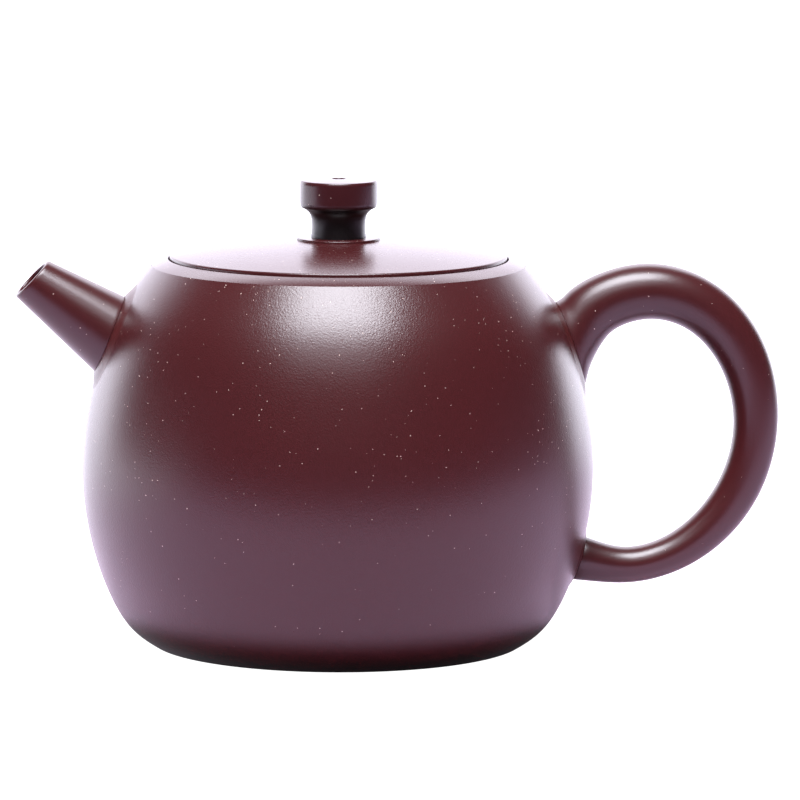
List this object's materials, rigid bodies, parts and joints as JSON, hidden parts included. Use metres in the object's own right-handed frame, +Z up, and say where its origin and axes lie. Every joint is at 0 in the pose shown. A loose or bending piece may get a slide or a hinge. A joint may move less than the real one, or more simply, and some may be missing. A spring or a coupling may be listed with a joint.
{
  "type": "clay teapot",
  "caption": "Round unglazed clay teapot with an inlaid lift-off lid and small flared knob, a short straight spout and a ring handle.",
  "frame": {"origin": "on the pot's axis, in the plane of the ring it rests on", "axes": "+Z up along the pot's axis, spout towards -X, handle towards +X"},
  "size_m": [0.1421, 0.095, 0.0866],
  "materials": {
    "body_clay": "unglazed burnished stoneware, satin",
    "base_clay": "unglazed clay, pressed smooth, matt",
    "shoulder_clay": "unglazed burnished stoneware, satin",
    "spout_clay": "unglazed burnished stoneware, satin",
    "inside_clay": "unglazed clay, not burnished, matt",
    "handle_clay": "unglazed burnished stoneware, satin",
    "lid_clay": "unglazed burnished stoneware, satin",
    "knob_clay": "unglazed burnished stoneware, satin"
  },
  "bodies": {
    "pot": {"body_wall": "body_clay", "base_disc": "base_clay", "mouth_ring": "shoulder_clay", "spout": "spout_clay", "spout_collar": "body_clay", "spout_strainer": "inside_clay", "handle": "handle_clay", "handle_upper_collar": "body_clay", "handle_lower_collar": "body_clay"},
    "lid": {"lid_disc": "lid_clay", "lid_flange": "inside_clay", "knob_plate": "lid_clay", "lid_knob": "knob_clay"}
  },
  "joints": [
    {"name": "lid_lift", "type": "slide", "parent": "pot", "child": "lid", "axis": [0, 0, 1], "range_m": [0, 0.08]}
  ]
}
